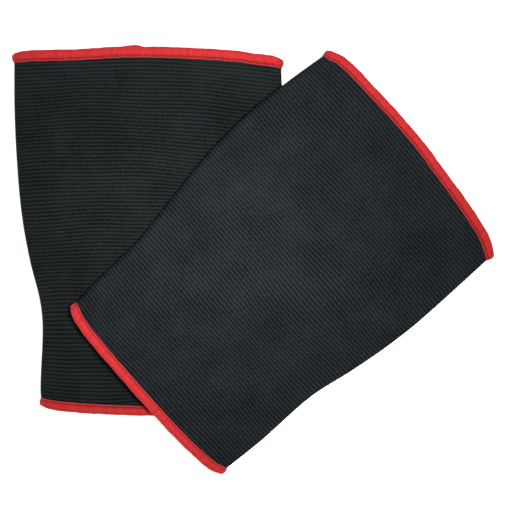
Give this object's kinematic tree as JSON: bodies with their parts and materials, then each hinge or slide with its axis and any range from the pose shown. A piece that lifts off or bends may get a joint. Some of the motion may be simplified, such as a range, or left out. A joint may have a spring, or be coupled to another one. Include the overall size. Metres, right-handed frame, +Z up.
{
  "type": "martial arts elbow pads",
  "caption": "Soft sleeve elbow pads of ribbed elastic with an inner foam pad, one lying across the other.",
  "frame": {"origin": "middle of the pair's footprint, on the surface that it lies on", "axes": "+Z up from that surface, +X along the pair's longest side, +Y from the under sleeve's narrow mouth to its wide one"},
  "size_m": [0.2772, 0.2458, 0.037],
  "materials": {
    "ribbed_elastic": "matt black ribbed elastic",
    "red_thread": "dense red overlock thread",
    "black_thread": "black sewing thread",
    "lining": "smooth black lining",
    "foam": "dark grey closed-cell foam"
  },
  "bodies": {
    "under_sleeve": {"under_sleeve_ribbed_shell": "ribbed_elastic", "under_sleeve_elbow_foam_pad": "foam", "under_sleeve_pad_pocket_lining": "lining", "under_sleeve_pocket_stitch_line": "black_thread", "under_sleeve_side_seam_allowance": "ribbed_elastic", "under_sleeve_side_seam_thread": "black_thread", "under_sleeve_narrow_mouth_edging": "red_thread", "under_sleeve_narrow_mouth_needle_thread": "red_thread", "under_sleeve_wide_mouth_edging": "red_thread", "under_sleeve_wide_mouth_needle_thread": "red_thread"},
    "over_sleeve": {"over_sleeve_ribbed_shell": "ribbed_elastic", "over_sleeve_elbow_foam_pad": "foam", "over_sleeve_pad_pocket_lining": "lining", "over_sleeve_pocket_stitch_line": "black_thread", "over_sleeve_side_seam_allowance": "ribbed_elastic", "over_sleeve_side_seam_thread": "black_thread", "over_sleeve_narrow_mouth_edging": "red_thread", "over_sleeve_narrow_mouth_needle_thread": "red_thread", "over_sleeve_wide_mouth_edging": "red_thread", "over_sleeve_wide_mouth_needle_thread": "red_thread"}
  },
  "joints": [
    {"name": "over_sleeve_lift", "type": "slide", "parent": "under_sleeve", "child": "over_sleeve", "axis": [0, 0, 1], "range_m": [0, 0.12]}
  ]
}
